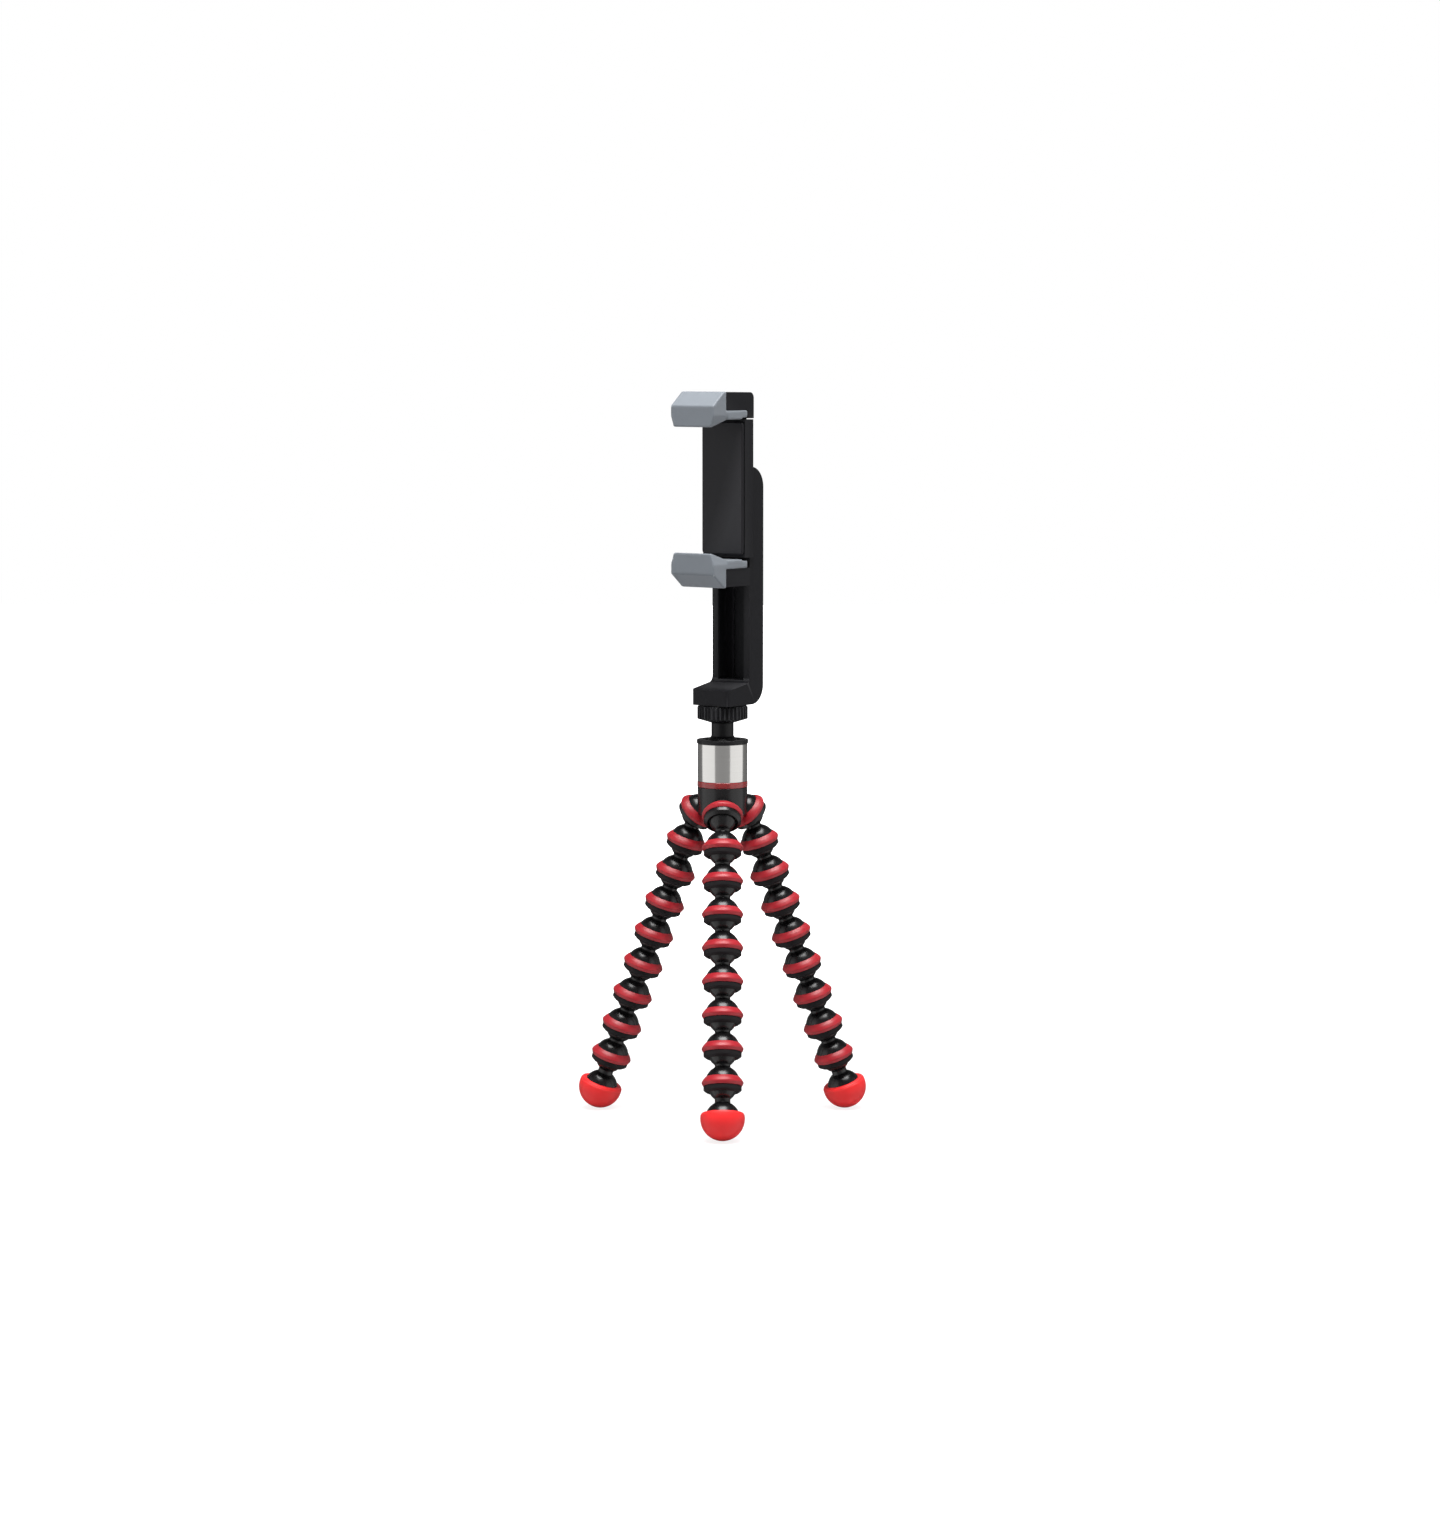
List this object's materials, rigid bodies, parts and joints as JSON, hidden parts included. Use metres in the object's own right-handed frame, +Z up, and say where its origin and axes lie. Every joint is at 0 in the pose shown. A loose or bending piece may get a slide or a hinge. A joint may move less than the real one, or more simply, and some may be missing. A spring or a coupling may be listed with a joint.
{
  "type": "flexible leg tripod",
  "caption": "Pocket tripod with bendable ball-and-socket legs, rubber grip rings, a ball head and a spring-loaded phone clamp.",
  "frame": {"origin": "on the floor, at the centre of the bounding box; the hub's vertical axis is 16.3 mm behind it", "axes": "+Z up, -Y towards the front leg, +X to the right leg"},
  "size_m": [0.1084, 0.0822, 0.27],
  "materials": {
    "black_link": "glossy black moulded plastic with a matte dark skirt",
    "red_rubber": "red grip rubber, satin",
    "accent": "dark red gloss plastic",
    "steel": "brushed steel band",
    "satin_black": "satin black moulded plastic",
    "plate_black": "smooth satin black plate, bare",
    "grey_pad": "grey soft rubber",
    "steel_parts": "plain machined steel",
    "spring_steel": "spring steel",
    "brass_part": "turned brass",
    "seat_plastic": "natural acetal"
  },
  "bodies": {
    "hub": {"hub_body": "black_link", "hub_socket_rings": "red_rubber", "accent_ring": "accent", "steel_band": "steel", "ball_retaining_cap": "satin_black", "spring_washer": "spring_steel"},
    "seat": {"ball_seat": "seat_plastic"},
    "head": {"head_ball": "satin_black", "camera_stud": "steel_parts"},
    "lock": {"lock_ring": "satin_black"},
    "clamp": {"bracket": "satin_black", "thread_insert": "brass_part", "clamp_body": "satin_black", "front_plate": "plate_black", "upper_jaw": "satin_black", "upper_jaw_pad": "grey_pad", "spring_anchor_pin": "steel_parts", "arm_screws": "steel_parts", "upper_jaw_screws": "steel_parts", "jaw_springs": "spring_steel"},
    "sliding_jaw": {"lower_jaw": "satin_black", "lower_jaw_pad": "grey_pad", "jaw_spring_pin": "steel_parts"},
    "front_link_1": {"front_leg_link_1": "black_link"},
    "front_link_2": {"front_leg_link_2": "black_link"},
    "front_link_3": {"front_leg_link_3": "black_link"},
    "front_link_4": {"front_leg_link_4": "black_link"},
    "front_link_5": {"front_leg_link_5": "black_link"},
    "front_link_6": {"front_leg_link_6": "black_link"},
    "front_link_7": {"front_leg_link_7": "black_link"},
    "front_link_8": {"front_leg_link_8": "black_link"},
    "front_foot": {"front_foot_core": "black_link", "front_foot_cap": "red_rubber"},
    "right_link_1": {"right_leg_link_1": "black_link"},
    "right_link_2": {"right_leg_link_2": "black_link"},
    "right_link_3": {"right_leg_link_3": "black_link"},
    "right_link_4": {"right_leg_link_4": "black_link"},
    "right_link_5": {"right_leg_link_5": "black_link"},
    "right_link_6": {"right_leg_link_6": "black_link"},
    "right_link_7": {"right_leg_link_7": "black_link"},
    "right_link_8": {"right_leg_link_8": "black_link"},
    "right_foot": {"right_foot_core": "black_link", "right_foot_cap": "red_rubber"},
    "left_link_1": {"left_leg_link_1": "black_link"},
    "left_link_2": {"left_leg_link_2": "black_link"},
    "left_link_3": {"left_leg_link_3": "black_link"},
    "left_link_4": {"left_leg_link_4": "black_link"},
    "left_link_5": {"left_leg_link_5": "black_link"},
    "left_link_6": {"left_leg_link_6": "black_link"},
    "left_link_7": {"left_leg_link_7": "black_link"},
    "left_link_8": {"left_leg_link_8": "black_link"},
    "left_foot": {"left_foot_core": "black_link", "left_foot_cap": "red_rubber"}
  },
  "joints": [
    {"name": "head_pan", "type": "hinge", "parent": "hub", "child": "seat", "pos_m": [0, 0.01631, 0.1376], "axis": [0, 0, 1], "continuous": true},
    {"name": "head_tilt", "type": "hinge", "parent": "seat", "child": "head", "pos_m": [0, 0.01631, 0.1376], "axis": [0.7986, -0.6018, 0], "range_deg": [-25, 25]},
    {"name": "lock_ring_turn", "type": "hinge", "parent": "head", "child": "lock", "pos_m": [0, 0.01631, 0.14785], "axis": [0, 0, 1], "continuous": true},
    {"name": "clamp_swivel", "type": "hinge", "parent": "head", "child": "clamp", "pos_m": [0, 0.01631, 0.15435], "axis": [0, 0, 1], "continuous": true},
    {"name": "jaw_slide", "type": "slide", "parent": "clamp", "child": "sliding_jaw", "axis": [0, 0, -1], "range_m": [0, 0.033], "stiffness_N_per_m": 250, "springref_m": -0.02, "deforming": ["jaw_springs"]},
    {"name": "front_leg_joint_1", "type": "hinge", "parent": "hub", "child": "front_link_1", "pos_m": [0, 0.00482, 0.11309], "axis": [-1, 0, 0], "range_deg": [-7, 57]},
    {"name": "front_leg_joint_2", "type": "hinge", "parent": "front_link_1", "child": "front_link_2", "pos_m": [0, 0.00058, 0.10133], "axis": [0, -0.9409, 0.3387], "range_deg": [-32, 32]},
    {"name": "front_leg_joint_3", "type": "hinge", "parent": "front_link_2", "child": "front_link_3", "pos_m": [0, -0.00365, 0.08957], "axis": [1, 0, 0], "range_deg": [-32, 32]},
    {"name": "front_leg_joint_4", "type": "hinge", "parent": "front_link_3", "child": "front_link_4", "pos_m": [0, -0.00789, 0.07781], "axis": [0, 0.9409, -0.3387], "range_deg": [-32, 32]},
    {"name": "front_leg_joint_5", "type": "hinge", "parent": "front_link_4", "child": "front_link_5", "pos_m": [0, -0.01212, 0.06605], "axis": [-1, 0, 0], "range_deg": [-32, 32]},
    {"name": "front_leg_joint_6", "type": "hinge", "parent": "front_link_5", "child": "front_link_6", "pos_m": [0, -0.01635, 0.05429], "axis": [0, -0.9409, 0.3387], "range_deg": [-32, 32]},
    {"name": "front_leg_joint_7", "type": "hinge", "parent": "front_link_6", "child": "front_link_7", "pos_m": [0, -0.02059, 0.04253], "axis": [1, 0, 0], "range_deg": [-32, 32]},
    {"name": "front_leg_joint_8", "type": "hinge", "parent": "front_link_7", "child": "front_link_8", "pos_m": [0, -0.02482, 0.03077], "axis": [0, 0.9409, -0.3387], "range_deg": [-32, 32]},
    {"name": "front_leg_joint_9", "type": "hinge", "parent": "front_link_8", "child": "front_foot", "pos_m": [0, -0.02906, 0.01901], "axis": [-1, 0, 0], "range_deg": [-32, 32]},
    {"name": "right_leg_joint_1", "type": "hinge", "parent": "hub", "child": "right_link_1", "pos_m": [0.00995, 0.02205, 0.11309], "axis": [0.6001, -0.7902, 0.1246], "range_deg": [-6, 58]},
    {"name": "right_leg_joint_2", "type": "hinge", "parent": "right_link_1", "child": "right_link_2", "pos_m": [0.014, 0.02328, 0.10133], "axis": [0.9007, 0.2719, 0.3387], "range_deg": [-32, 32]},
    {"name": "right_leg_joint_3", "type": "hinge", "parent": "right_link_2", "child": "right_link_3", "pos_m": [0.01806, 0.0245, 0.08957], "axis": [-0.289, 0.9573, 0], "range_deg": [-32, 32]},
    {"name": "right_leg_joint_4", "type": "hinge", "parent": "right_link_3", "child": "right_link_4", "pos_m": [0.02211, 0.02572, 0.07781], "axis": [-0.9007, -0.2719, -0.3387], "range_deg": [-32, 32]},
    {"name": "right_leg_joint_5", "type": "hinge", "parent": "right_link_4", "child": "right_link_5", "pos_m": [0.02617, 0.02695, 0.06605], "axis": [0.289, -0.9573, 0], "range_deg": [-32, 32]},
    {"name": "right_leg_joint_6", "type": "hinge", "parent": "right_link_5", "child": "right_link_6", "pos_m": [0.03022, 0.02817, 0.05429], "axis": [0.9007, 0.2719, 0.3387], "range_deg": [-32, 32]},
    {"name": "right_leg_joint_7", "type": "hinge", "parent": "right_link_6", "child": "right_link_7", "pos_m": [0.03427, 0.0294, 0.04253], "axis": [-0.289, 0.9573, 0], "range_deg": [-32, 32]},
    {"name": "right_leg_joint_8", "type": "hinge", "parent": "right_link_7", "child": "right_link_8", "pos_m": [0.03833, 0.03062, 0.03077], "axis": [-0.9007, -0.2719, -0.3387], "range_deg": [-32, 32]},
    {"name": "right_leg_joint_9", "type": "hinge", "parent": "right_link_8", "child": "right_foot", "pos_m": [0.04238, 0.03184, 0.01901], "axis": [0.289, -0.9573, 0], "range_deg": [-32, 32]},
    {"name": "left_leg_joint_1", "type": "hinge", "parent": "hub", "child": "left_link_1", "pos_m": [-0.00995, 0.02205, 0.11309], "axis": [0.6001, 0.7902, -0.1246], "range_deg": [-6, 58]},
    {"name": "left_leg_joint_2", "type": "hinge", "parent": "left_link_1", "child": "left_link_2", "pos_m": [-0.014, 0.02328, 0.10133], "axis": [-0.9007, 0.2719, 0.3387], "range_deg": [-32, 32]},
    {"name": "left_leg_joint_3", "type": "hinge", "parent": "left_link_2", "child": "left_link_3", "pos_m": [-0.01806, 0.0245, 0.08957], "axis": [-0.289, -0.9573, 0], "range_deg": [-32, 32]},
    {"name": "left_leg_joint_4", "type": "hinge", "parent": "left_link_3", "child": "left_link_4", "pos_m": [-0.02211, 0.02572, 0.07781], "axis": [0.9007, -0.2719, -0.3387], "range_deg": [-32, 32]},
    {"name": "left_leg_joint_5", "type": "hinge", "parent": "left_link_4", "child": "left_link_5", "pos_m": [-0.02617, 0.02695, 0.06605], "axis": [0.289, 0.9573, 0], "range_deg": [-32, 32]},
    {"name": "left_leg_joint_6", "type": "hinge", "parent": "left_link_5", "child": "left_link_6", "pos_m": [-0.03022, 0.02817, 0.05429], "axis": [-0.9007, 0.2719, 0.3387], "range_deg": [-32, 32]},
    {"name": "left_leg_joint_7", "type": "hinge", "parent": "left_link_6", "child": "left_link_7", "pos_m": [-0.03427, 0.0294, 0.04253], "axis": [-0.289, -0.9573, 0], "range_deg": [-32, 32]},
    {"name": "left_leg_joint_8", "type": "hinge", "parent": "left_link_7", "child": "left_link_8", "pos_m": [-0.03833, 0.03062, 0.03077], "axis": [0.9007, -0.2719, -0.3387], "range_deg": [-32, 32]},
    {"name": "left_leg_joint_9", "type": "hinge", "parent": "left_link_8", "child": "left_foot", "pos_m": [-0.04238, 0.03184, 0.01901], "axis": [0.289, 0.9573, 0], "range_deg": [-32, 32]}
  ]
}
